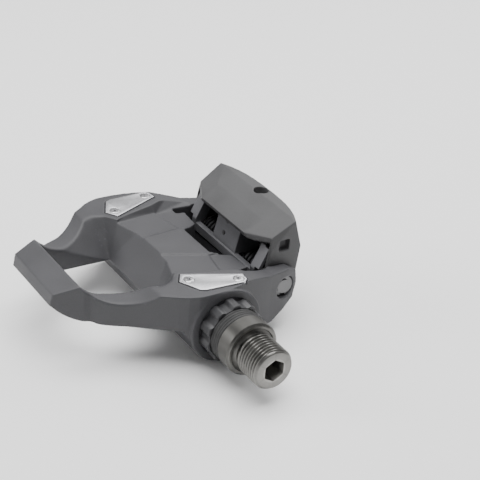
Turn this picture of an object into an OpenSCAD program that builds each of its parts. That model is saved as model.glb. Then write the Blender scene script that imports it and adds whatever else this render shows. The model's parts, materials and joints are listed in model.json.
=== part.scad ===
// Single-sided clipless road pedal, right-hand side.
// Frame: origin on the spindle axis at the crank face of the spindle collar,
// +X forward, +Y towards the crank, +Z up, millimetres.

/* [Body] */
// Distance from the crank face to the middle of the pedal
mid_y = 53; // [52.5:0.25:54]
// Half of the overall body width
half_w = 37.3; // [36.5:0.1:38]
// Height of the body's top deck above the spindle axis
deck_z = 13.3; // [13:0.1:13.8]
// Outer radius of the axle boss in the body
boss_r = 13; // [12.8:0.1:13.4]
// Width of the slot that the rear claw stands in
slot_w = 49.6; // [49.2:0.1:50]

/* [Spindle] */
// Major radius of the 9/16 inch by 20 TPI crank thread
thread_r = 7.14; // [7.1:0.01:7.18]
// Length of the thread, with its end chamfer
thread_l = 12.6; // [12:0.1:14]
// Radius of the collar that stops against the crank
collar_r = 9.37; // [9:0.01:9.5]
// Hexagon socket in the crank end, across flats
hex_af = 6; // [5:1:6]

/* [Lock bolt] */
// Outer radius of the splined head
lock_r = 11; // [10.8:0.1:11.2]
// Number of splines
splines = 10; // [8:1:12]

/* [Rear claw] */
// Half of the claw's width
claw_half = 24.3; // [24:0.1:24.4]
// Height of the claw's ridge above the spindle axis
claw_z = 25.2; // [24.8:0.1:25.6]
// Pivot of the claw: distance behind the spindle axis
pivot_x = 28; // [27.8:0.1:28.2]
// Pivot of the claw: height above the spindle axis
pivot_z = 3; // [2.8:0.1:3.2]
// Radius of the pivot pin
pin_r = 2.5; // [2.3:0.1:2.6]

/* [Springs] */
// Mean radius of the torsion spring coils
coil_r = 4.2; // [4.1:0.05:4.3]
// Radius of the spring wire
wire_r = 0.9; // [0.8:0.05:0.95]
// Whole turns of each spring
coil_turns = 4; // [3:1:4]

/* [Hidden] */
$fn = 64;

run = 0.05;          // radial running clearance
far = 120;           // longer than the part, for cutting tools
tiny = 0.01;

// Spindle stations along Y, measured from the crank face
collar_end = -11.6;
seal_r = 7.25;
seal_end = -17;
lip_front = -6.1;    // the rubber lip covers the collar from here to the lock bolt
lip_bore = 8.7;
lip_r = 9.3;
flange = [-12.4, -11.75];
needle_r = 5.6;
needle_end = -42;
shaft_r = 5;
shaft_end = -69.6;
stub_r = 3.4;
stub_end = -77;
hex_depth = 9;
hex_mouth_af = hex_af + 0.8;

// Lock bolt stations
head_out = -10.4;
head_in = half_w - mid_y;   // against the body's inboard face
root_r = lock_r - 1.1;
spline_r = 1.8;
shank_r = 10.1;
shank_end = -27;

// Bearings
sleeve_r = 9.4;
sleeve_bore = 8.4;
sleeve_end = -78;
roller_r = 1;
roller_orbit = needle_r + roller_r + 0.02;
roller_l = 10;
roller_y = -35;
rollers = 14;
ball_r = 1.19;
ball_orbit = 6.7;
balls = 14;
groove_r = ball_r + run;
race_w = 5;
cone_r = 6.1;
cup_r = 7.3;
inner_row = -48;
outer_row = -66;

// Front loop: the scoop slopes down into a window with upright walls
window_half = 15.3;
window_rear = 15.6;
window_front = 42;
scoop_top = [[6.8, 9.6], [10.2, 19.6], [13.6, 24.4], [17.8, 26], [window_front, window_half]];
scoop_foot_z = 0.5;
scoop_foot_half = 6;      // half width of the slopes' foot at the front end
saddle_c = [31.8, 23.6];  // centre and radius of the hollow along the top of the arms
saddle_r = 14.7;
undercut_half = 14.4;
undercut = [[38, -4], [38, 11.8], [42.4, 11.6], [46.8, 9.2], [47.4, -4]];

// Deck between the wear plates: a raised middle facet that widens to the rear, then on each
// side a lower field and, behind it, a rear tab, with corners as [X, half width, Z]
deck_fall = 3.4 / 32;     // slope of the middle facet, down to the rear
facet_plan = [[14, 4.6], [6.5, 6.5], [-8.6, 10.2], [-13.5, 11.6]];
field = [[14, 4.6, 12.7], [6.5, 6.5, 11.9], [-8.6, 10.1, 10.35], [-6.2, 23.4, 10.5], [5.2, 19.7, 11.7],
    [12, 19, 12.3], [7, 21.4, 13.3], [-5.4, 24.8, 13.3]];
tab = [[-8.6, 10.1, 10], [-6.2, 23.4, 9.9], [-13, 24.2, 9.8], [-22, 24.2, 9.5], [-22, 10.1, 9.5],
    [-5.4, 24.8, 13.3], [-12.8, 27.9, 12.8], [-22, 27.4, 10.6]];
floor_end = -22.8;        // rear end of the body's floor
floor_z = -2;
rim = [-22.1, -21.1];     // upright rim of the floor, which stands in front of the springs
rim_z = 1.8;
rim_half = 20.3;

// Metal wear plates
plate_t = 1.3;
plate_z = deck_z - 1.1;
plate_pts = [[9.5, 21.7], [12.1, 25.9], [8.4, 33.1], [6.6, 34], [-7.6, 34.7], [-9, 33.3], [-9.4, 30]];
screw_at = [[8.5, 25.9], [-6.6, 31.9]];
screw_head_r = 1.8;
screw_r = 1.1;
head_flat = 0.2;     // straight rim of the screw's head
head_cone = 0.7;
socket_r = 0.85;
socket_depth = 0.8;
screw_l = 4.4;       // short, so that the inboard pair stops above the lock bolt's shank

// Rear claw
bolt_x = -34.6;
bolt_r = 1.5;
bolt_head_r = 2.75;
bolt_head_z = [18, 21.3];
bolt_end_z = 4.5;
access_r = 2.6;
cheek_in = 20.8;
nut_z = [9, 12];
nut_back = 2;
nut_front = 2.6;
nut_half = 4.5;
ear_half = 1.4;      // half thickness of the nut's two ears, which the springs push up on
ear_out = 11;
lip = [-19.4, 13.8, 18.5];        // front corner of the lip: X, half width, Z
lip_t = 1.5;
shoulder = [-24.4, 23.4, 19.8];
brow = [-26, 14.5, 22.3];
ridge_half = 20.4;
ridge_x = -31.8;
crest_x = -32.8;
crest_half = 22;
// Rear of the claw from the top down: Z, front X, rear X in the middle and at the side
rear_levels = [[claw_z - 0.2, crest_x, -37.5, -33], [15, -24, -40.5, -36], [6, -22.6, -39.8, -35],
    [-3, -26, -36.5, -32]];
pocket = [3.9, 2.2, 4.1];         // pocket in each cheek: length, depth, height
pocket_at = [-31.2, 14.6];
cheek_front = 23.2;               // the cheeks are thinner in front, round the guide's prongs
front_hollow = [[-15, 8.6], [-15, 17], [-21.2, 17], [-22.8, 17.4], [-26.2, 19], [-26.2, 8.6]];
hollow_c = 21.8;                  // rear wall of the hollow, curved in plan
hollow_r = 59.2;
cheek_turn_r = 5.6;               // lower front of each cheek, round about the pivot
guide_out = 20.6;
guide_in = 18.2;
prong_out = 22.8;                 // outer edge of the prongs' front faces
guide_lean = 12.4;                // lean of the middle block's front face
cross_bar = [[-20.4, 3.2], [-20.4, 6.3], [-22.3, 6.6], [-22.3, 2.6], [-21.2, 2.4]];
prong = [[-20.2, 4], [-20.2, 7.8], [-24.3, 16], [-27.4, 13.2], [-24, 6.4], [-22.3, 4]];
prong_face = [[-20.55, 8.5], [-24.05, 15.5], [-25.3, 14.87], [-21.8, 7.87]];
middle_block = [[-20.9, 6], [-20.9, 7.2], [-23.2, 17.63], [-26.5, 19.6], [-30.8, 21.26], [-31, 6.2]];
rivet_at = [[-22.6, -1.5, 14.5], [-21.6, -1.5, 10.3]];
rivet_r = 0.7;
rivet_l = 4.2;
bolt_af = 2.5;
block_half = 7.3;
coil_in = 9.4;
coil_pitch = 2 * wire_r + 0.08;
leg_up_angle = 83;
leg_up_l = 7.9;
leg_down_l = 9;

function arc(c, r, a0, a1, n) = [for (i = [0:n]) let (a = a0 + (a1 - a0) * i / n) c + r * [cos(a), sin(a)]];
function flip(pts) = [for (i = [len(pts) - 1:-1:0]) [pts[i][0], -pts[i][1]]];
function both(pts) = concat(pts, flip(pts));

// Places its children in the body's own frame, whose Y is zero in the middle of the pedal
module mid() translate([0, -mid_y, 0]) children();
// Repeats its children on both sides of the middle plane
module sides() {
    children();
    mirror([0, 1, 0]) children();
}
// A cylinder along Y from y0 to y1
module along(y0, y1, r) translate([0, y0, 0]) rotate([-90, 0, 0]) cylinder(h = y1 - y0, r = r);
// A turned part: the profile's points are [distance along Y, radius]
module turned(pts) rotate([-90, 0, 0]) rotate_extrude($fn = 96) polygon([for (p = pts) [p[1], p[0]]]);
// A flat outline in X and Z, given a width along Y
module side_cut(pts, half) translate([0, half, 0]) rotate([90, 0, 0]) linear_extrude(2 * half) polygon(pts);
// A ring along Y
module ring(y0, y1, r0, r1) difference() {
    along(y0, y1, r1);
    along(y0 - 1, y1 + 1, r0);
}

/* ---------- spindle and bearings ---------- */

module spindle() color("dimgray") difference() {
    turned([[thread_l, 0], [thread_l, thread_r - 0.75], [thread_l - 1, thread_r], [0, thread_r],
        [0, collar_r - 0.7], [-0.7, collar_r], [lip_front, collar_r], [lip_front, lip_bore],
        [collar_end, lip_bore], [collar_end, seal_r],
        [seal_end, seal_r], [seal_end - 1, needle_r], [needle_end, needle_r], [needle_end, shaft_r],
        [shaft_end, shaft_r], [shaft_end, stub_r], [stub_end, stub_r], [stub_end, 0]]);
    translate([0, thread_l - hex_depth, 0]) rotate([-90, 0, 0]) rotate([0, 0, 30])
        cylinder(h = hex_depth + 1, r = hex_af / sqrt(3), $fn = 6);
    translate([0, thread_l - 0.6, 0]) rotate([-90, 0, 0]) rotate([0, 0, 30])
        cylinder(h = 0.61, r1 = hex_af / sqrt(3), r2 = hex_mouth_af / sqrt(3), $fn = 6);
}

module groove(y) translate([0, y, 0]) rotate([-90, 0, 0])
    rotate_extrude() translate([ball_orbit, 0]) circle(r = groove_r, $fn = 32);

module cone(y) color("silver") difference() {
    ring(y - race_w / 2, y + race_w / 2, shaft_r, cone_r);
    groove(y);
}

module cup(y) color("silver") difference() {
    ring(y - race_w / 2, y + race_w / 2, cup_r, sleeve_bore);
    groove(y);
}

module inner_cone() cone(inner_row);
module outer_cone() cone(outer_row);
module inner_cup() cup(inner_row);
module outer_cup() cup(outer_row);
module needle_cup() color("silver")
    ring(roller_y - roller_l / 2 - 1, roller_y + roller_l / 2 + 1, roller_orbit + roller_r + 0.02,
        sleeve_bore);
module tab_washer() color("silver") ring(shaft_end - 1, shaft_end, stub_r, cone_r);
module cone_locknut() color("silver") difference() {
    translate([0, shaft_end - 5, 0]) rotate([-90, 0, 0]) cylinder(h = 4, r = 5.7, $fn = 6);
    along(shaft_end - 6, shaft_end, stub_r);
}

module orbit(count, r) for (i = [0:count - 1])
    rotate([0, i * 360 / count, 0]) translate([r, 0, 0]) children();

module needle_rollers() color("silver") orbit(rollers, roller_orbit)
    translate([0, roller_y, 0]) along(-roller_l / 2, roller_l / 2, roller_r, $fn = 24);
module ball_row(y) color("silver") orbit(balls, ball_orbit)
    translate([0, y, 0]) sphere(r = ball_r, $fn = 24);
module inner_balls() ball_row(inner_row);
module outer_balls() ball_row(outer_row);
module axle_sleeve() color("silver") ring(sleeve_end, shank_end, sleeve_bore, sleeve_r);

// Outline of the lock bolt's head: a disc with round splines
module spline_outline() {
    circle(r = root_r);
    for (i = [0:splines - 1]) rotate((i + 0.5) * 360 / splines)
        translate([lock_r - spline_r, 0]) circle(r = spline_r);
}

module lock_bolt() color([0.16, 0.16, 0.17]) difference() {
    union() {
        translate([0, head_in, 0]) rotate([-90, 0, 0]) linear_extrude(head_out - head_in) spline_outline();
        along(shank_end, head_in, shank_r);
    }
    along(flange[0], head_out + 1, lip_r + 0.15);
    along(shank_end - 1, head_out, sleeve_bore);
}

// Rubber seal: a ring inside the sleeve, a flange, and a lip that shows round the collar
module dust_seal() color([0.08, 0.08, 0.08])
    turned([[seal_end + 0.6, seal_r + run], [seal_end + 0.6, sleeve_bore], [flange[0], sleeve_bore],
        [flange[0], lip_r], [lip_front - 0.6, lip_r], [lip_front - 0.1, lip_r - 0.3],
        [lip_front - 0.1, lip_bore + run], [flange[1], lip_bore + run], [flange[1], seal_r + run]]);

/* ---------- body ---------- */

// Plan outline of one half of the body, front to rear
half_plan = [[51.9, 14.3], [41.8, 17.7], [39.4, 17.9], [37.4, 20.3], [34.7, 22.4], [29.7, 25.3],
    [23.1, 30], [16.6, 34.4], [13.9, 35.9], [10.7, 37], [8, half_w], [4, half_w - 0.1],
    [-4, 36.1], [-14, 33], [-21, 30.8], [-28, 28.9], [-34, 26.8]];

// Side profile: the front underside is an arc that rises to the front claw
side_profile = concat([[51.9, 7.8], [51.1, 11.7], [42, 14.4], [39, deck_z - 0.6], [13, deck_z],
    [-9.5, deck_z], [-14, 12.2], [-21, 10.3], [-29, 10], [-33, 8], [-34, 3], [-32.6, -2.6],
    [-28, -5.6], [-22.8, -8.4], [-9, -9.4], [12.6, -3.2], [15, 0.6]],
    arc([36.2, 20.6], 20.1, -90, -42, 8));

// Space above the corners of one facet of the deck
module above(corners) hull() for (p = corners) translate(p) cube([tiny, tiny, 20]);

// The scoop in front of the axle boss, and the window of the front loop below it
module scoop() {
    hull() {
        translate([0, 0, deck_z + 0.5]) linear_extrude(6) polygon(both(scoop_top));
        translate([0, 0, scoop_foot_z]) linear_extrude(tiny)
            polygon(both([[window_rear, window_half], [window_front, scoop_foot_half]]));
    }
    translate([window_rear, -window_half, -far / 2])
        cube([window_front - window_rear, 2 * window_half, far]);
}

module claw_slot() difference() {
    translate([0, 0, floor_z]) linear_extrude(far)
        polygon(both([[-9.8, 8.6], [-16.4, 12.3], [-17.2, 21.3], [-14, 21.8], [-14, slot_w / 2],
            [-60, slot_w / 2]]));
    along(-far, far, boss_r - 1.4);
    translate([rim[0], -rim_half, floor_z - 1]) cube([rim[1] - rim[0], 2 * rim_half, rim_z - floor_z + 1]);
}

module plate_outline(t) linear_extrude(t) polygon(plate_pts);

module pedal_body() color([0.35, 0.35, 0.36]) mid() difference() {
    union() {
        intersection() {
            translate([0, 0, -20]) linear_extrude(60) polygon(both(half_plan));
            side_cut(side_profile, half_w + 1);
        }
        along(-half_w, half_w, boss_r);
    }
    scoop();
    // saddle of the two arms that carry the front claw
    translate([saddle_c[0], 0, saddle_c[1]]) along(-far, far, saddle_r);
    // undercut of the front claw, where the cleat's nose goes
    side_cut(undercut, undercut_half);
    // deck, tilted down to the rear
    sides() {
        above(field);
        above(tab);
    }
    translate([12, 0, deck_z - 0.4]) rotate([0, -atan(deck_fall), 0]) translate([-12, 0, 0])
        linear_extrude(20) polygon(both(facet_plan));
    claw_slot();
    // rear of the floor, open under the springs
    translate([floor_end - far, -slot_w / 2, -far / 2]) cube([far, slot_w, far]);
    // seats of the wear plates and their screws
    sides() {
        translate([0, 0, plate_z]) plate_outline(10);
        for (p = screw_at) translate([p[0], p[1], plate_z + 1 - screw_l])
            cylinder(h = far, r = screw_r, $fn = 32);
    }
    // pivot pin and the pockets of its clips
    translate([-pivot_x, 0, pivot_z]) along(-far, far, pin_r);
    sides() translate([-pivot_x, 0, pivot_z]) along(26.6, 40, 4);
    // axle bore, open at the crank side
    along(sleeve_end + mid_y, far, sleeve_r);
    along(shank_end + mid_y, far, shank_r);
}

module wear_plate() difference() {
    translate([0, 0, plate_z]) plate_outline(plate_t);
    for (p = screw_at) translate([p[0], p[1], plate_z]) screw_shape();
}

// A countersunk screw without its socket
module screw_shape() {
    translate([0, 0, 1 - screw_l]) cylinder(h = screw_l, r = screw_r, $fn = 32);
    translate([0, 0, plate_t - head_flat - head_cone])
        cylinder(h = head_cone, r1 = screw_r, r2 = screw_head_r, $fn = 32);
    translate([0, 0, plate_t - head_flat]) cylinder(h = head_flat, r = screw_head_r, $fn = 32);
}

module inboard_plate() color("lightgray") mid() wear_plate();
module outboard_plate() color("lightgray") mid() mirror([0, 1, 0]) wear_plate();

module plate_screw() difference() {
    screw_shape();
    translate([0, 0, plate_t - socket_depth]) cylinder(h = 2, r = socket_r, $fn = 6);
}
module plate_screws() color("silver") mid() sides()
    for (p = screw_at) translate([p[0], p[1], plate_z]) plate_screw();

module pivot_pin() color("silver") mid() translate([-pivot_x, 0, pivot_z]) along(-28, 28, pin_r);
module pin_clips() color("silver") mid() sides() translate([-pivot_x, 0, pivot_z]) difference() {
    ring(26.6, 27.4, pin_r, 3.7);
    translate([-1, 20, -5]) cube([2, 10, 5]);
}
module spring_bushes() color("ivory") mid() sides()
    translate([-pivot_x, 0, pivot_z]) ring(8, 20.6, pin_r, 3.25);

/* ---------- torsion springs ---------- */

// The spring's path: lower leg, coil, upper leg, as [centre, angle round the pivot]
coil_deg = leg_up_angle + 360 * coil_turns;
steps = 20 * coil_turns;
function at(a, r, y) = [r * cos(a), y, r * sin(a)];
function path_y(a) = coil_in + coil_pitch * (coil_deg - a) / 360;
spring_path = concat(
    [[at(0, coil_r, path_y(0)) - [0, 0, leg_down_l], 0]],
    [for (i = [0:steps]) let (a = coil_deg * i / steps) [at(a, coil_r, path_y(a)), a]],
    [[at(coil_deg, coil_r, coil_in) + leg_up_l * [-sin(coil_deg), 0, cos(coil_deg)], coil_deg]]);
wire_sides = 8;
function wire_ring(p) = [for (k = [0:wire_sides - 1]) let (b = k * 360 / wire_sides)
    p[0] + wire_r * (cos(b) * [cos(p[1]), 0, sin(p[1])] + sin(b) * [0, 1, 0])];
module spring_wire() {
    rings = len(spring_path);
    polyhedron(
        points = [for (p = spring_path) each wire_ring(p)],
        faces = concat(
            [[for (k = [0:wire_sides - 1]) k]],
            [for (i = [0:rings - 2]) for (k = [0:wire_sides - 1])
                let (n = (k + 1) % wire_sides, a = i * wire_sides)
                [a + k, a + wire_sides + k, a + wire_sides + n, a + n]],
            [[for (k = [wire_sides - 1:-1:0]) (rings - 1) * wire_sides + k]]));
}
module inboard_spring() color("gray") mid() translate([-pivot_x, 0, pivot_z]) spring_wire();
module outboard_spring() color("gray") mid() mirror([0, 1, 0])
    translate([-pivot_x, 0, pivot_z]) spring_wire();

/* ---------- rear claw ---------- */

// Rear edge of the claw in plan, from the middle xm to the side xs
function rear_edge(xm, xs) = [for (i = [-6:6]) [xm + (xs - xm) * pow(abs(i) / 6, 3), claw_half * i / 6]];
module slice(z, pts) translate([0, 0, z]) linear_extrude(tiny) polygon(pts);

module claw_outside() hull() {
    slice(lip[2] - lip_t, both([[lip[0] - 0.9, lip[1] - 0.6], [-24, lip[1] - 0.6]]));
    slice(lip[2], both([[lip[0], lip[1]], [-24, lip[1]]]));
    slice(shoulder[2], both([[shoulder[0], shoulder[1]], [-30, shoulder[1]]]));
    slice(brow[2], both([[brow[0], brow[1]], [-30, brow[1]]]));
    slice(claw_z - 0.6, both([[ridge_x, ridge_half], [crest_x, ridge_half]]));
    slice(claw_z, both([[crest_x, crest_half], [crest_x - 0.6, crest_half]]));
    for (l = rear_levels)
        slice(l[0], concat([[l[1], claw_half], [l[1], -claw_half]], rear_edge(l[2], l[3])));
}

// Hollow of the claw: open to the front and below
hollow_profile = [[-5, 17], [-21.2, 17], [-22.8, 17.4], [-26.5, 19.6], [-33.2, 22.2], [-36, 21.6],
    [-37.4, 16], [-37.2, 6], [-34, -6], [-5, -6]];
module claw_hollow() intersection() {
    side_cut(hollow_profile, cheek_in);
    translate([hollow_c, 0, -20]) cylinder(h = 60, r = hollow_r, $fn = 128);
}

module rear_claw() color([0.4, 0.4, 0.41]) mid() difference() {
    claw_outside();
    claw_hollow();
    sides() translate([0, (cheek_in + cheek_front - 1) / 2, 0])
        side_cut(front_hollow, (cheek_front - cheek_in + 1) / 2);
    // pockets in the outside of the cheeks
    sides() translate([pocket_at[0], claw_half - pocket[1], pocket_at[1]]) cube([pocket[0], 5, pocket[2]]);
    // cheeks are cut back over the body's shoulders
    sides() side_relief();
    // adjusting screw: its pocket, and the hole for the key
    translate([bolt_x, 0, 14]) cylinder(h = 7.6, r = bolt_head_r + 0.35);
    translate([bolt_x, 0, 14]) cylinder(h = 20, r = access_r);
    translate([-pivot_x, 0, pivot_z]) along(-far, far, pin_r + run);
}
// Rounds the lower front of each cheek about the pivot
module side_relief() translate([-pivot_x, cheek_in - 1, pivot_z]) difference() {
    translate([0, 0, -far]) cube([far, claw_half, far]);
    along(-1, claw_half + 1, cheek_turn_r);
}

// Dark moulding inside the claw: cross bar, two guide prongs and the middle block
module claw_guide() color([0.14, 0.14, 0.16]) mid() difference() {
    union() {
        side_cut(cross_bar, guide_out);
        sides() translate([0, (guide_in + guide_out) / 2, 0])
            side_cut(prong, (guide_out - guide_in) / 2);
        sides() translate([0, (guide_in + prong_out) / 2, 0])
            side_cut(prong_face, (prong_out - guide_in) / 2);
        side_cut(middle_block, block_half);
    }
    rivets() cylinder(h = 8, r = rivet_r, center = true, $fn = 24);
}
module rivets() for (p = rivet_at) translate(p) rotate([0, 90 - guide_lean, 0]) children();
module guide_rivets() color("silver") mid() rivets()
    translate([0, 0, 0.2 - rivet_l]) cylinder(h = rivet_l, r = rivet_r, $fn = 24);

module tension_bolt() color("silver") mid() translate([bolt_x, 0, 0]) difference() {
    union() {
        translate([0, 0, bolt_end_z]) cylinder(h = bolt_head_z[0] - bolt_end_z, r = bolt_r);
        translate([0, 0, bolt_head_z[0]]) cylinder(h = bolt_head_z[1] - bolt_head_z[0], r = bolt_head_r);
    }
    translate([0, 0, bolt_head_z[1] - 2]) cylinder(h = 5, r = bolt_af / sqrt(3), $fn = 6);
}

module tension_nut() color("silver") mid() difference() {
    union() {
        translate([bolt_x - nut_back, -nut_half, nut_z[0]])
            cube([nut_back + nut_front, 2 * nut_half, nut_z[1] - nut_z[0]]);
        translate([bolt_x - ear_half, -ear_out, nut_z[0]])
            cube([2 * ear_half, 2 * ear_out, nut_z[1] - nut_z[0]]);
    }
    translate([bolt_x, 0, 0]) cylinder(h = 30, r = bolt_r + run);
}

spindle();
inner_cone();
outer_cone();
tab_washer();
cone_locknut();
needle_rollers();
inner_balls();
outer_balls();
pedal_body();
inboard_plate();
outboard_plate();
plate_screws();
lock_bolt();
dust_seal();
axle_sleeve();
needle_cup();
inner_cup();
outer_cup();
pivot_pin();
pin_clips();
spring_bushes();
inboard_spring();
outboard_spring();
rear_claw();
claw_guide();
guide_rivets();
tension_bolt();
tension_nut();
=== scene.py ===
import json
import math

import bmesh
import bpy
from mathutils import Matrix, Vector


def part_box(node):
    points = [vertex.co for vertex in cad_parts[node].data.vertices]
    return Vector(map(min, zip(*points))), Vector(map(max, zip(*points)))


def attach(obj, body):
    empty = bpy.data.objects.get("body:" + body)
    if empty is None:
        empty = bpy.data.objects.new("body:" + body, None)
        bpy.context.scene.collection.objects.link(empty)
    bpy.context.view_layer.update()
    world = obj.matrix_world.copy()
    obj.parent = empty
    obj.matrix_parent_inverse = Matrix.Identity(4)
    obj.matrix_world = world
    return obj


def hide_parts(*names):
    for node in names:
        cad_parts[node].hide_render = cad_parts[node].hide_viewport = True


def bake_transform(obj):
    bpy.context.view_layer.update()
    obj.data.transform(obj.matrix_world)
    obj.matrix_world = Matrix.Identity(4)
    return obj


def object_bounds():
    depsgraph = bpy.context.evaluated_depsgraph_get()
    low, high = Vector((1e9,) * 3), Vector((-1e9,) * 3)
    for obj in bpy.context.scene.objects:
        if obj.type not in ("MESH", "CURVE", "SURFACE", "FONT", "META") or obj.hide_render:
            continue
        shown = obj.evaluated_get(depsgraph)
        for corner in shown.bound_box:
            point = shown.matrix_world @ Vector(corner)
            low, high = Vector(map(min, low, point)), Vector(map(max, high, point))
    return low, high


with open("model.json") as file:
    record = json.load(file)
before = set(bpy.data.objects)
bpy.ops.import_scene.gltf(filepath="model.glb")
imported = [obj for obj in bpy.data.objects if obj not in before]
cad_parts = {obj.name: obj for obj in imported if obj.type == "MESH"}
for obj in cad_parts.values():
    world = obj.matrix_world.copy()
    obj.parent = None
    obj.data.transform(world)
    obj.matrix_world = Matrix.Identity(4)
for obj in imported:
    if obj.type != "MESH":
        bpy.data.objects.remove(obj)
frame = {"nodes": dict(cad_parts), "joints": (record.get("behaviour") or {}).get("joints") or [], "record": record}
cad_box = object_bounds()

# Visual model of the clipless pedal. Shapes are written in millimetres and multiplied by MM where
# they become mesh points. Lights, the floor's size and the textures' distances are in metres.

MM = 0.001
TURN = 2 * math.pi
MOUNTS = {m["name"]: m for m in frame["record"]["mounts"]}
COLOURS = {m["slot"]: m["base_color"] for m in frame["record"]["materials"]}


def box_mm(node):
    """Lowest and highest corner of a CAD node, in millimetres."""
    low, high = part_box(node)
    return low / MM, high / MM


def joint(name):
    return next(j for j in frame["joints"] if j["name"] == name)


def clamped(value):
    return min(1.0, max(0.0, value))


BODY_LOW, BODY_HIGH = box_mm("pedal_body")
MID_Y = (BODY_LOW.y + BODY_HIGH.y) / 2          # middle plane of the pedal
PIVOT = Vector(joint("claw_pivot")["pos_m"]) / MM


# ---------- camera, light and floor ----------

CAMERA_PLACE = (209.73, 293.64, 234.60)
CAMERA_RIGHT = (-0.8462, 0.5268, 0.0802)
CAMERA_UP = (-0.193, -0.4432, 0.8754)
CAMERA_LENS = 102.2
CAMERA_SENSOR = 36
CAMERA_CLIP = (0.01, 20)

LIGHTS = [      # name, place, size, power
    ("top", (0.02, -0.10, 0.80), 0.9, 12.0),
    ("behind", (-0.62, -0.30, 0.55), 0.9, 5.0),
    ("front_left", (0.75, -0.50, 0.40), 0.45, 3.6),
]
LIGHT_TARGET = (0, -0.05, 0)
WORLD_STRENGTH = 0.22

FLOOR_HALF = 3.0
FLOOR_DROP = 0.2 * MM       # the floor's distance below the lowest CAD point
FLOOR_PALE = 0.95
FLOOR_ROUGH = 0.9


def add_camera():
    right = Vector(CAMERA_RIGHT)
    back = right.cross(Vector(CAMERA_UP)).normalized()
    up = back.cross(right).normalized()
    data = bpy.data.cameras.new("camera")
    data.lens = CAMERA_LENS
    data.sensor_width = CAMERA_SENSOR
    data.clip_start, data.clip_end = CAMERA_CLIP
    camera = bpy.data.objects.new("camera", data)
    turn = Matrix((right.normalized(), up, back)).transposed().to_4x4()
    camera.matrix_world = Matrix.Translation(Vector(CAMERA_PLACE) * MM) @ turn
    bpy.context.scene.collection.objects.link(camera)
    bpy.context.scene.camera = camera


def add_light(name, place, size, power):
    """A round area light that faces the pedal."""
    data = bpy.data.lights.new(name, "AREA")
    data.shape = "DISK"
    data.size = size
    data.energy = power
    light = bpy.data.objects.new(name, data)
    light.location = place
    light.rotation_mode = "QUATERNION"
    light.rotation_quaternion = (Vector(LIGHT_TARGET) - Vector(place)).to_track_quat("-Z", "Y")
    bpy.context.scene.collection.objects.link(light)


def add_world():
    world = bpy.data.worlds.new("studio")
    world.use_nodes = True
    world.node_tree.nodes["Background"].inputs["Color"].default_value = (1, 1, 1, 1)
    world.node_tree.nodes["Background"].inputs["Strength"].default_value = WORLD_STRENGTH
    bpy.context.scene.world = world


def add_floor():
    half = FLOOR_HALF
    z = cad_box[0].z - FLOOR_DROP
    corners = [(-half, -half, z), (half, -half, z), (half, half, z), (-half, half, z)]
    mesh = bpy.data.meshes.new("floor")
    mesh.from_pydata(corners, [], [(0, 1, 2, 3)])
    floor = new_object("floor", mesh)
    pale = bpy.data.materials.new("floor_pale")
    pale.use_nodes = True
    shader = pale.node_tree.nodes["Principled BSDF"]
    shader.inputs["Base Color"].default_value = (FLOOR_PALE, FLOOR_PALE, FLOOR_PALE, 1)
    shader.inputs["Roughness"].default_value = FLOOR_ROUGH
    mesh.materials.append(pale)


# ---------- materials ----------

MIX_FIRST, MIX_SECOND, MIX_RESULT = 6, 7, 2     # the colour sockets of the mix node


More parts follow.
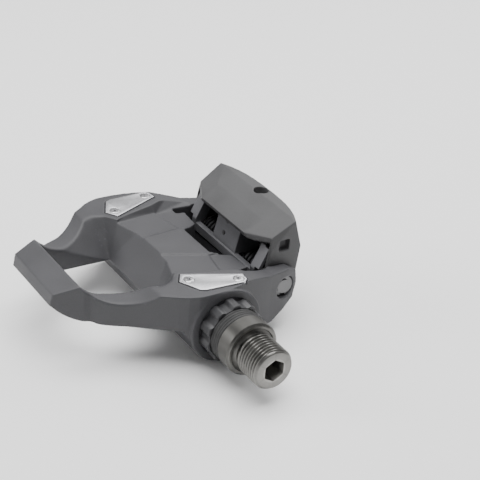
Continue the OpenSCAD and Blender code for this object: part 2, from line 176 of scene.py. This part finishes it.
class Nodes:
    """A short way to write a material's node tree."""

    def __init__(self, name):
        self.material = bpy.data.materials.new(name)
        self.material.use_nodes = True
        self.tree = self.material.node_tree
        self.shader = self.tree.nodes["Principled BSDF"]

    def add(self, kind, **settings):
        node = self.tree.nodes.new(kind)
        for key, value in settings.items():
            setattr(node, key, value)
        return node

    def link(self, output, target):
        self.tree.links.new(output, target)

    def place(self, stretch=(1, 1, 1)):
        """Object coordinates, which stay on the piece as it moves, stretched along the axes."""
        coords = self.add("ShaderNodeTexCoord")
        mapping = self.add("ShaderNodeMapping")
        mapping.inputs["Scale"].default_value = stretch
        self.link(coords.outputs["Object"], mapping.inputs["Vector"])
        return mapping.outputs["Vector"]

    def around_y(self):
        """Distances from the Y axis and along it, as X and Y, for turned surfaces."""
        coords = self.add("ShaderNodeTexCoord")
        split = self.add("ShaderNodeSeparateXYZ")
        self.link(coords.outputs["Object"], split.inputs[0])
        flat = self.add("ShaderNodeCombineXYZ")
        self.link(split.outputs["X"], flat.inputs["X"])
        self.link(split.outputs["Z"], flat.inputs["Z"])
        length = self.add("ShaderNodeVectorMath", operation="LENGTH")
        self.link(flat.outputs[0], length.inputs[0])
        polar = self.add("ShaderNodeCombineXYZ")
        self.link(length.outputs["Value"], polar.inputs["X"])
        self.link(split.outputs["Y"], polar.inputs["Y"])
        return polar.outputs[0]

    def part_of(self, vector, axis):
        """One of the three numbers in a vector output."""
        split = self.add("ShaderNodeSeparateXYZ")
        self.link(vector, split.inputs[0])
        return split.outputs[axis]

    def noise(self, vector, scale, detail, rough=0.5):
        node = self.add("ShaderNodeTexNoise")
        node.inputs["Scale"].default_value = scale
        node.inputs["Detail"].default_value = detail
        node.inputs["Roughness"].default_value = rough
        self.link(vector, node.inputs["Vector"])
        return node.outputs["Fac"]

    def spread(self, value, low, high, source=(0.3, 0.7)):
        """Maps a value from its source range to low..high."""
        node = self.add("ShaderNodeMapRange")
        numbers = (*source, low, high)
        for key, number in zip(("From Min", "From Max", "To Min", "To Max"), numbers):
            node.inputs[key].default_value = number
        self.link(value, node.inputs["Value"])
        return node.outputs["Result"]

    def maths(self, operation, first, second):
        node = self.add("ShaderNodeMath", operation=operation)
        self.link(first, node.inputs[0])
        self.link(second, node.inputs[1])
        return node.outputs[0]

    def blend(self, factor, first, second):
        """Mixes two colours, each a tuple or a node output."""
        node = self.add("ShaderNodeMix", data_type="RGBA")
        self.link(factor, node.inputs["Factor"])
        for side, colour in ((MIX_FIRST, first), (MIX_SECOND, second)):
            if isinstance(colour, tuple):
                node.inputs[side].default_value = (*colour, 1)
            else:
                self.link(colour, node.inputs[side])
        return node.outputs[MIX_RESULT]

    def edges(self, low=0.52, high=0.62):
        """1 on raised edges and 0 elsewhere."""
        geometry = self.add("ShaderNodeNewGeometry")
        return self.spread(geometry.outputs["Pointiness"], 0, 1, (low, high))

    def bump(self, heights):
        """Bumps from (height output, distance in metres) pairs, one on top of the other."""
        normal = None
        for height, distance in heights:
            node = self.add("ShaderNodeBump")
            node.inputs["Distance"].default_value = distance
            node.inputs["Strength"].default_value = 1.0
            self.link(height, node.inputs["Height"])
            if normal is not None:
                self.link(normal, node.inputs["Normal"])
            normal = node.outputs["Normal"]
        self.link(normal, self.shader.inputs["Normal"])

    def finish(self, colour, rough, heights, metal=False):
        """Sets what the shader shows, and returns the material."""
        self.link(colour, self.shader.inputs["Base Color"])
        self.link(rough, self.shader.inputs["Roughness"])
        if metal:
            self.shader.inputs["Metallic"].default_value = 1.0
        self.bump(heights)
        return self.material


def shade(colour, factor):
    return tuple(min(1.0, c * factor) for c in colour)


def tinted(colour, tint):
    return tuple(c * t for c, t in zip(colour, tint))


MOULD_GRAIN = 0.00002
MOULD_WEAR = 0.5
SCRATCH = 0.000006
TOOL_MARK, STAIN_MARK = 0.000005, 0.00001
COLLAR_FACE = (-0.0004, 0.0004)     # along Y, where the metal stops being darker
SOCKET_LIGHT_END = (0.0040, 0.0041)      # distances from the Y axis, where the socket's painted lighter tone ends


def moulded(name, colour, rough):
    """Moulded, fibre-filled plastic: fine grain, faint flow marks and edges rubbed paler."""
    n = Nodes(name)
    place = n.place()
    flow = n.noise(place, 90, 4)
    fine = n.noise(place, 3200, 2)
    cloudy = n.blend(n.spread(flow, 0, 1), shade(colour, 0.88), shade(colour, 1.12))
    speck = n.blend(n.spread(fine, 0, 0.35), cloudy, shade(colour, 1.5))
    edge_lift = n.spread(n.noise(place, 260, 3), 0.1, MOULD_WEAR)
    rubbed = n.blend(n.maths("MULTIPLY", n.edges(), edge_lift), speck, shade(colour, 1.9))
    roughness = n.spread(flow, rough - 0.06, rough + 0.06)
    return n.finish(rubbed, roughness, [(fine, MOULD_GRAIN), (flow, MOULD_GRAIN * 2)])


def brushed(name, colour, stretch, rough):
    """Metal brushed along one axis, with fine scratches."""
    n = Nodes(name)
    lines = n.noise(n.place(stretch), 900, 4, 0.6)
    patches = n.noise(n.place(), 120, 2)
    lined = n.blend(n.spread(lines, 0, 1), shade(colour, 0.84), shade(colour, 1.1))
    uneven = n.spread(patches, rough - 0.05, rough + 0.05)
    roughness = n.maths("ADD", n.spread(lines, -0.06, 0.06), uneven)
    return n.finish(lined, roughness, [(lines, SCRATCH)], metal=True)


def turned_metal(name, colour, rough, edge_lift, stained, darker=0.0, socket=1.0):
    """Metal turned about the spindle axis, with tool marks round it and stains. Raised edges and thread crests are
    brighter: partly wear, partly a painted highlight. It can be darker inwards of the collar's face at Y = 0, and
    close round the axis, where the key's socket is, its tone is `socket` times its colour; above 1 that is painted
    light in the socket's shade."""
    n = Nodes(name)
    marks = n.noise(n.around_y(), 5200, 3, 0.6)
    stains = n.noise(n.place(), 210, 5, 0.6)
    streaks = n.noise(n.place((1, 0.25, 1)), 620, 3)
    blotches = n.spread(stains, 0, 1, (0.38, 0.62))
    base = n.blend(blotches, shade(colour, 1 - stained), shade(colour, 1 + stained))
    streaked = n.blend(n.spread(streaks, 0, stained, (0.45, 0.7)), base, shade(colour, 2.2))
    lined = n.blend(n.spread(marks, 0, 0.4), streaked, shade(colour, 1.5))
    # painted highlight on raised edges and thread crests, on top of real wear
    edge = n.spread(n.edges(0.505, 0.56), 0, edge_lift, (0, 1))
    worn_and_highlit = n.blend(edge, lined, shade(colour, 2.3))
    inward = n.spread(n.part_of(n.place(), "Y"), darker, 0, COLLAR_FACE)
    outside = n.blend(inward, worn_and_highlit, shade(colour, 0.3))
    # painted light: the key's socket is drawn lighter to lift it out of its shade
    inside = n.spread(n.part_of(n.around_y(), "X"), 1, 0, SOCKET_LIGHT_END)
    shown = n.blend(inside, outside, shade(colour, socket))
    roughness = n.spread(stains, rough - 0.07, rough + 0.08)
    return n.finish(shown, roughness, [(marks, TOOL_MARK), (stains, STAIN_MARK)], metal=True)


def soft_plastic(name, colour, rough, grain):
    """Rubber or nylon with a fine skin."""
    n = Nodes(name)
    skin = n.noise(n.place(), 1800, 3)
    dust = n.noise(n.place(), 200, 4)
    dusty = n.blend(n.spread(dust, 0, 1), shade(colour, 0.85), shade(colour, 1.35))
    return n.finish(dusty, n.spread(skin, rough - 0.06, rough + 0.06), [(skin, grain)])


COOL = (0.99, 0.985, 1.035)     # the body's plastic is a little bluer than the rest
SHADES = {                      # how much lighter than its colour in the record a slot is shown
    "body_composite": 0.82,
    "plate_steel": 1.45,
    "spring_steel": 0.2,
    # painted shade: the springs are drawn near black so the shadowed gap behind the claw's lip reads dark
    "claw_composite": 0.86,
}
OILED = ("pivot_pin", "pin_clips", "guide_rivets")      # screw_steel parts that are stained dark
OILED_SHADE = 0.22


def make_materials():
    colours = {slot: shade(colour, SHADES.get(slot, 1)) for slot, colour in COLOURS.items()}
    colours["body_composite"] = tinted(colours["body_composite"], COOL)
    colours["oiled_steel"] = shade(colours["screw_steel"], OILED_SHADE)
    recipes = {
        # the last number lightens the key's socket: painted light in its shade
        "spindle_steel": (turned_metal, 0.42, 0.7, 0.42, 0.6, 2.6),
        "bearing_steel": (turned_metal, 0.2, 0.2, 0.08),
        "body_composite": (moulded, 0.56),
        "plate_steel": (brushed, (1, 14, 14), 0.42),
        "screw_steel": (brushed, (6, 6, 1), 0.28),
        "lock_resin": (moulded, 0.45),
        "seal_rubber": (soft_plastic, 0.62, 0.000012),
        "bush_nylon": (soft_plastic, 0.4, 0.000006),
        "spring_steel": (brushed, (8, 2, 8), 0.5),
        "claw_composite": (moulded, 0.56),
        # the guide's colour in the record is lighter than the body's plastic: painted light against the deep shade
        # it sits in
        "guide_resin": (moulded, 0.5),
        "oiled_steel": (brushed, (14, 1, 14), 0.45),
    }
    return {slot: make(slot, colours[slot], *values) for slot, (make, *values) in recipes.items()}


# ---------- mesh helpers ----------

WELD = 0.001 * MM
SOFTEN_ROUNDS = 4
WIRE_SIDES = 14


def new_object(name, mesh):
    made = bpy.data.objects.new(name, mesh)
    bpy.context.scene.collection.objects.link(made)
    return made


def from_bmesh(name, bm):
    bmesh.ops.recalc_face_normals(bm, faces=bm.faces)
    mesh = bpy.data.meshes.new(name)
    bm.to_mesh(mesh)
    bm.free()
    return new_object(name, mesh)


def copy_of(node, name):
    """A welded copy of a CAD node's mesh, to work on."""
    bm = bmesh.new()
    bm.from_mesh(frame["nodes"][node].data)
    bmesh.ops.remove_doubles(bm, verts=bm.verts, dist=WELD)
    return from_bmesh(name, bm)


def baked(obj):
    """Applies the object's modifiers to its mesh."""
    graph = bpy.context.evaluated_depsgraph_get()
    mesh = bpy.data.meshes.new_from_object(obj.evaluated_get(graph))
    obj.modifiers.clear()
    obj.data = mesh
    return obj


def cut(obj, *tools):
    """Takes the tools' shapes out of the object, and removes the tools."""
    for tool in tools:
        step = obj.modifiers.new("cut", "BOOLEAN")
        step.operation = "DIFFERENCE"
        step.solver = "EXACT"
        step.object = tool
    baked(obj)
    for tool in tools:
        bpy.data.objects.remove(tool)
    return obj


def softened(obj, voxel):
    """Remeshes the piece evenly and rounds its edges, as a mould does, within its own box."""
    low, high = (
        Vector(f(v.co[i] for v in obj.data.vertices) for i in range(3)) for f in (min, max)
    )
    step = obj.modifiers.new("remesh", "REMESH")
    step.mode = "VOXEL"
    step.voxel_size = voxel * MM
    step.use_smooth_shade = True
    step = obj.modifiers.new("round", "SMOOTH")
    step.iterations = SOFTEN_ROUNDS
    baked(obj)
    for vertex in obj.data.vertices:
        vertex.co = [min(max(c, a), b) for c, a, b in zip(vertex.co, low, high)]
    return obj


def rounded_where(obj, weight, rounds):
    """Rounds part of a piece further, by a weight from 0 to 1 at each point."""
    group = obj.vertex_groups.new(name="round")
    for vertex in obj.data.vertices:
        amount = weight(vertex.co)
        if amount > 0:
            group.add([vertex.index], amount, "REPLACE")
    step = obj.modifiers.new("round", "SMOOTH")
    step.vertex_group = "round"
    step.iterations = rounds
    baked(obj)
    obj.vertex_groups.clear()
    return obj


def smooth_shaded(obj, angle=30):
    """Smooth shading, with edges sharper than the angle left crisp."""
    bm = bmesh.new()
    bm.from_mesh(obj.data)
    for face in bm.faces:
        face.smooth = True
    limit = math.radians(angle)
    for edge in bm.edges:
        edge.smooth = len(edge.link_faces) == 2 and edge.calc_face_angle(0) < limit
    bm.to_mesh(obj.data)
    bm.free()
    return obj


def add_band(bm, first, second):
    """Faces between two rings of points, or from a single point to a ring."""
    count = max(len(first), len(second))
    for k in range(count):
        m = (k + 1) % count
        if len(first) == 1:
            bm.faces.new((first[0], second[k], second[m]))
        elif len(second) == 1:
            bm.faces.new((first[k], first[m], second[0]))
        else:
            bm.faces.new((first[k], first[m], second[m], second[k]))


def prism(name, points, z0, z1, y_side):
    """A closed block over a flat outline of (x, distance from the middle plane)."""
    bm = bmesh.new()
    low, high = (
        [bm.verts.new(Vector((x, MID_Y + y_side * y, z)) * MM) for x, y in points]
        for z in (z0, z1)
    )
    bm.faces.new(low)
    bm.faces.new(high)
    add_band(bm, low, high)
    return from_bmesh(name, bm)


def along_spindle(h, r, a):
    """A point at a distance along the spindle axis, and a radius and an angle from +Z about it."""
    return Vector((r * math.sin(a), h, r * math.cos(a)))


def upright(x, y):
    """Points about an upright axis, y being measured from the middle plane."""
    return lambda h, r, a: Vector((x + r * math.cos(a), MID_Y + y + r * math.sin(a), h))


def loft(name, rings, segments, at=along_spindle):
    """A closed turned piece. A ring is (distance along the axis, radius), and a radius may be a
    function of the angle. A radius of 0 closes an end, and rings that start and end elsewhere are
    joined into a hollow piece."""
    bm = bmesh.new()
    angles = [TURN * k / segments for k in range(segments)]
    rows = []
    for h, radius in rings:
        if radius == 0:
            points = [at(h, 0, 0)]
        else:
            points = [at(h, radius(a) if callable(radius) else radius, a) for a in angles]
        rows.append([bm.verts.new(point * MM) for point in points])
    for first, second in zip(rows, rows[1:]):
        add_band(bm, first, second)
    if len(rows[0]) > 1 and len(rows[-1]) > 1:
        add_band(bm, rows[-1], rows[0])
    return from_bmesh(name, bm)


def hexagon(flats):
    """Radius of a hexagon at an angle, from its distance across flats."""
    sixth = TURN / 6
    return lambda a: flats / 2 / math.cos(a % sixth - sixth / 2)


def joined(name, pieces):
    """One object of several meshes."""
    bm = bmesh.new()
    for piece in pieces:
        bm.from_mesh(piece.data)
        bpy.data.objects.remove(piece)
    return from_bmesh(name, bm)


def tube(name, path, radius):
    """A round wire along a path of points, closed at both ends."""
    bm = bmesh.new()
    angles = [TURN * k / WIRE_SIDES for k in range(WIRE_SIDES)]
    rows = []
    across = None
    for i, point in enumerate(path):
        ahead = (path[min(i + 1, len(path) - 1)] - path[max(i - 1, 0)]).normalized()
        if across is None:
            across = ahead.orthogonal().normalized()
        across = (across - ahead * across.dot(ahead)).normalized()
        other = ahead.cross(across)
        spokes = [across * math.cos(a) + other * math.sin(a) for a in angles]
        rows.append([bm.verts.new((point + spoke * radius) * MM) for spoke in spokes])
    for first, second in zip(rows, rows[1:]):
        add_band(bm, first, second)
    bm.faces.new(rows[0])
    bm.faces.new(rows[-1])
    return smooth_shaded(from_bmesh(name, bm), 50)


def finished(obj, body, slot, *nodes):
    """Gives the piece its material and body, and hides the CAD nodes it stands for."""
    obj.data.materials.clear()
    obj.data.materials.append(MATERIALS[slot])
    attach(obj, body)
    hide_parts(*nodes)
    return obj


# ---------- body, plates and claw ----------

BODY_VOXEL, CLAW_VOXEL, GUIDE_VOXEL = 0.3, 0.24, 0.2

SCOOP_X = (12.5, 41)        # the scoop's ends along X
SCOOP_SIDE = 30             # its side walls, from the middle plane
SCOOP_Z = 4.0               # the height from which its walls are rounded
SCOOP_FADE, SCOOP_SIDE_FADE = 3, 2
SCOOP_ROUNDS = 45

# (x, distance from the middle plane), the same for both plates
PLATE_OUTLINE = [
    (9.5, 21.7), (12.1, 25.9), (8.4, 33.1), (6.6, 34), (-7.6, 34.7), (-9, 33.3), (-9.4, 30),
]
PLATE_GAP = 0.28            # between the outline and the wall of the plate's seat
PLATE_INSET = 0.06          # between the outline and the plate's edge
PLATE_CORNER = 0.5
SEAT_HEIGHT = 6             # how far above the plate the body is cleared

SCREWS = [(8.5, 25.9), (-6.6, 31.9)]        # measured like the outline
HOLE_R, SINK_R = 1.2, 1.88
SHANK_R = 1.1
SCREW_KEY = 1.35


def grown(points, distance):
    """The outline with its sides moved out by a distance."""
    count = len(points)
    area = sum(a[0] * b[1] - b[0] * a[1] for a, b in zip(points, points[1:] + points[:1]))
    way = 1 if area > 0 else -1
    made = []
    for i in range(count):
        p, q, r = (Vector(points[(i + k) % count]) for k in (-1, 0, 1))
        before, after = (q - p).normalized(), (r - q).normalized()
        n1 = Vector((before.y, -before.x)) * way
        n2 = Vector((after.y, -after.x)) * way
        middle = (n1 + n2).normalized()
        made.append(tuple(q + middle * (distance / middle.dot(n1))))
    return made


def in_scoop(point):
    """0 to 1: how much of the extra rounding a point of the body gets, for the scoop's walls."""
    x, y, z = point.x / MM, abs(point.y / MM - MID_Y), point.z / MM
    start, end = SCOOP_X
    ahead = clamped((x - start) / SCOOP_FADE) * clamped((end - x) / SCOOP_FADE)
    inside = clamped((SCOOP_SIDE - y) / SCOOP_SIDE_FADE)
    return ahead * inside * clamped((z - SCOOP_Z) / SCOOP_FADE)


def add_body():
    low, high = box_mm("inboard_plate")
    shell = copy_of("pedal_body", "body_shell")
    seat = grown(PLATE_OUTLINE, PLATE_GAP)
    cut(shell, *(prism("seat", seat, low.z, high.z + SEAT_HEIGHT, side) for side in (1, -1)))
    softened(shell, BODY_VOXEL)
    rounded_where(shell, in_scoop, SCOOP_ROUNDS)
    return finished(shell, "pedal", "body_composite", "pedal_body")


def add_plate(node, name, side):
    low, high = box_mm(node)
    plate = prism(name, grown(PLATE_OUTLINE, -PLATE_INSET), low.z, high.z, side)
    below, above = low.z - 1, high.z + 1
    sink = [
        (below, 0), (below, HOLE_R), (high.z - 0.85, HOLE_R), (high.z - 0.3, SINK_R),
        (above, SINK_R), (above, 0),
    ]
    cut(plate, *(loft("sink", sink, 40, upright(x, side * y)) for x, y in SCREWS))
    step = plate.modifiers.new("corners", "BEVEL")
    step.width = PLATE_CORNER * MM
    step.segments = 4
    step.limit_method = "ANGLE"
    step.angle_limit = math.radians(20)
    step.affect = "EDGES"
    baked(plate)
    return finished(smooth_shaded(plate, 25), "pedal", "plate_steel", node)


def add_plate_screws():
    """Countersunk screws with a bevelled, slightly domed head and a hexagon socket."""
    low, high = box_mm("plate_screws")
    top = high.z
    rings = [
        (low.z, 0), (low.z, SHANK_R - 0.3), (low.z + 0.3, SHANK_R), (top - 0.95, SHANK_R),
        (top - 0.3, 1.72), (top - 0.16, 1.74), (top - 0.05, 1.6), (top, 1.15),
        (top, hexagon(SCREW_KEY + 0.2)), (top - 0.12, hexagon(SCREW_KEY)),
        (top - 0.9, hexagon(SCREW_KEY)), (top - 1.1, 0),
    ]
    screws = [loft("screw", rings, 48, upright(x, side * y)) for side in (1, -1) for x, y in SCREWS]
    made = smooth_shaded(joined("plate_screws_hex", screws))
    return finished(made, "pedal", "screw_steel", "plate_screws")


def add_claw():
    claw = softened(copy_of("rear_claw", "claw_shell"), CLAW_VOXEL)
    return finished(claw, "claw", "claw_composite", "rear_claw")


def add_guide():
    guide = softened(copy_of("claw_guide", "guide_moulding"), GUIDE_VOXEL)
    return finished(guide, "claw", "guide_resin", "claw_guide")


# ---------- spindle, lock bolt and seal (Y is 0 at the collar's face) ----------

TIP_R = 3.4                 # outboard end, for the locknut
TIP_END = -69.6
OUTER_R = 5                 # where the cones and the needles run
OUTER_END = -42
SHAFT_R = 5.6
SHAFT_END, SHAFT_TAPER = -18, 1
SEAT_R = 7.25               # under the seal
COLLAR_END = -11.6
LIP_FRONT = -6.1
LIP_BORE = 8.7
CHAMFER = 0.7
PITCH = 25.4 / 20
THREAD_DEPTH = 0.61 * PITCH
THREAD_START = 1.5
STEPS_A_TURN = 12
HEX_ACROSS = 6.0
HEX_LEAD = 0.4
HEX_LEAD_DEPTH = 1.5
HEX_DEPTH = 9.0

FLANGE = (-12.4, -11.75)
SEAL_BORE = 7.3
SLEEVE_BORE = 8.4
LIP_GAP = 0.05
SEAL_GROOVES = (-9.4, -8.2, -7.2)
GROOVE_DEPTH = 0.14

SPLINES = 10
SPLINE_DEPTH = 1.1
BOLT_R = 10.1


def add_spindle():
    low, high = box_mm("spindle")
    major = MOUNTS["axle_thread"]["dims"]["r_mm"]
    root = major - THREAD_DEPTH
    neck = root - 0.15
    collar = high.x
    end = high.y

    def thread(y):
        """Radius round a ring of the right-hand thread, which runs out at both ends."""
        begun = max(0.0, (y - THREAD_START) / 0.6)
        left = max(0.0, (end - 0.35 - y) / 0.5) + 0.25
        fade = min(1.0, begun, left)

        def radius(a):
            phase = (y / PITCH - a / TURN) % 1.0
            ridge = clamped((abs(phase - 0.5) - 0.06) / 0.36)
            return root + (major - root) * ridge * fade
        return radius

    rings = [
        (low.y, 0), (low.y, TIP_R - 0.3), (low.y + 0.3, TIP_R), (TIP_END, TIP_R),
        (TIP_END, OUTER_R), (OUTER_END, OUTER_R), (OUTER_END, SHAFT_R), (SHAFT_END, SHAFT_R),
        (SHAFT_END + SHAFT_TAPER, SEAT_R), (COLLAR_END, SEAT_R),
        # the collar, its chamfer and the groove in its face
        (COLLAR_END, LIP_BORE), (LIP_FRONT, LIP_BORE),
        (LIP_FRONT, collar - 0.25), (LIP_FRONT + 0.25, collar), (-CHAMFER, collar),
        (-0.15, collar - CHAMFER + 0.1), (0, collar - CHAMFER - 0.1), (0, major + 0.75),
        (-0.35, major + 0.55), (-0.35, major + 0.1), (0, root + 0.1), (0.3, neck), (1.2, neck),
    ]
    count = int((end - 0.75 - THREAD_START) / PITCH * STEPS_A_TURN)
    steps = [THREAD_START + PITCH * i / STEPS_A_TURN for i in range(count + 1)]
    rings += [(y, thread(y)) for y in steps]
    # the end and the key's socket
    rings += [
        (end - 0.5, root + 0.35), (end - 0.08, root + 0.02), (end, neck),
        (end, hexagon(HEX_ACROSS + 2 * HEX_LEAD)), (end - HEX_LEAD_DEPTH, hexagon(HEX_ACROSS)),
        (end - HEX_DEPTH, hexagon(HEX_ACROSS)), (end - HEX_DEPTH - 0.8, 0),
    ]
    spindle = loft("spindle_axle", rings, 144)
    return finished(smooth_shaded(spindle), "axle", "spindle_steel", "spindle")


def add_lock_bolt():
    low, high = box_mm("lock_bolt")
    head_in, head_out = BODY_HIGH.y, high.y
    outer = high.x
    root = outer - SPLINE_DEPTH
    counterbore = box_mm("dust_seal")[1].x + 0.15

    def splined(inset):
        """Round splines with soft roots."""
        def radius(a):
            wave = 0.5 + 0.5 * math.cos(a * SPLINES)
            return root + (outer - root) * clamped(wave * 1.7 - 0.35) - inset
        return radius

    rings = [
        (low.y, SLEEVE_BORE), (low.y, BOLT_R - 0.4), (low.y + 0.4, BOLT_R), (head_in, BOLT_R),
        (head_in, splined(0.25)), (head_in + 0.25, splined(0)), (head_out - 0.4, splined(0)),
        (head_out - 0.1, splined(0.2)), (head_out, splined(0.45)), (head_out, counterbore + 0.1),
        (head_out - 0.15, counterbore), (FLANGE[0], counterbore), (FLANGE[0], SLEEVE_BORE),
    ]
    bolt = loft("lock_bolt_splined", rings, 240)
    return finished(smooth_shaded(bolt), "pedal", "lock_resin", "lock_bolt")


def add_seal():
    """Rubber seal: a ring in the sleeve, a flange and a grooved lip that shows round the collar."""
    low, high = box_mm("dust_seal")
    outer = high.x
    floor, lip = outer - GROOVE_DEPTH, LIP_BORE + LIP_GAP
    rings = [
        (low.y, SEAL_BORE), (low.y, SLEEVE_BORE), (FLANGE[0], SLEEVE_BORE), (FLANGE[0], outer),
    ]
    for y in SEAL_GROOVES:
        rings += [(y - 0.22, outer), (y - 0.1, floor), (y + 0.1, floor), (y + 0.22, outer)]
    rings += [
        (high.y - 0.5, outer), (high.y - 0.15, outer - 0.12), (high.y, outer - 0.35),
        (high.y, lip), (FLANGE[1], lip), (FLANGE[1], SEAL_BORE),
    ]
    seal = smooth_shaded(loft("seal_ring", rings, 120), 40)
    return finished(seal, "pedal", "seal_rubber", "dust_seal")


# ---------- springs and the nodes that stay as they are ----------

COIL_R, WIRE_R, COIL_TURNS = 4.2, 0.9, 4
COIL_GAP = 0.08             # between the turns
COIL_INNER = 9.4            # the coil's inner end, from the middle plane
COIL_STEPS = 36             # rings in a turn
LEG_UP_ANGLE, LEG_UP, LEG_DOWN = 83, 7.9, 9
LEG_DOWN_STEPS, LEG_UP_STEPS = 6, 12


def add_spring(node, name, side):
    """A torsion spring in two pieces: the coil with its lower leg, and the upper leg."""
    total = math.radians(360 * COIL_TURNS + LEG_UP_ANGLE)
    pitch = 2 * WIRE_R + COIL_GAP

    def at(a):
        """A point of the coil's middle line, at an angle about the pivot."""
        y = COIL_INNER + pitch * (total - a) / TURN
        x, z = PIVOT.x + COIL_R * math.cos(a), PIVOT.z + COIL_R * math.sin(a)
        return Vector((x, MID_Y + side * y, z))

    steps = COIL_STEPS * COIL_TURNS
    root = at(total)
    tip = root + LEG_UP * Vector((-math.sin(total), 0, math.cos(total)))
    path = [
        at(0) - Vector((0, 0, LEG_DOWN * k / LEG_DOWN_STEPS)) for k in range(LEG_DOWN_STEPS, 0, -1)
    ]
    path += [at(total * i / steps) for i in range(steps + 1)]
    coil = tube(name, path, WIRE_R)
    leg_path = [root.lerp(tip, k / LEG_UP_STEPS) for k in range(LEG_UP_STEPS + 1)]
    leg = tube(name + "_leg", leg_path, WIRE_R)
    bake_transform(coil)
    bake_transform(leg)
    for piece in (coil, leg):
        piece.data.materials.append(MATERIALS["spring_steel"])
        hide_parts(node)


def paint_cad_nodes():
    """CAD nodes whose shape is right keep it, and get the slot's material."""
    slots = {s["node"]: s["material_slot"] for s in frame["record"]["subparts"]}
    for node, obj in frame["nodes"].items():
        obj.data.materials.clear()
        obj.data.materials.append(MATERIALS["oiled_steel" if node in OILED else slots[node]])


add_camera()
add_world()
for light in LIGHTS:
    add_light(*light)
add_floor()
MATERIALS = make_materials()
paint_cad_nodes()
add_body()
add_plate("inboard_plate", "wear_plate_inboard", 1)
add_plate("outboard_plate", "wear_plate_outboard", -1)
add_plate_screws()
add_claw()
add_guide()
add_spindle()
add_lock_bolt()
add_seal()
add_spring("inboard_spring", "spring_inboard", 1)
add_spring("outboard_spring", "spring_outboard", -1)
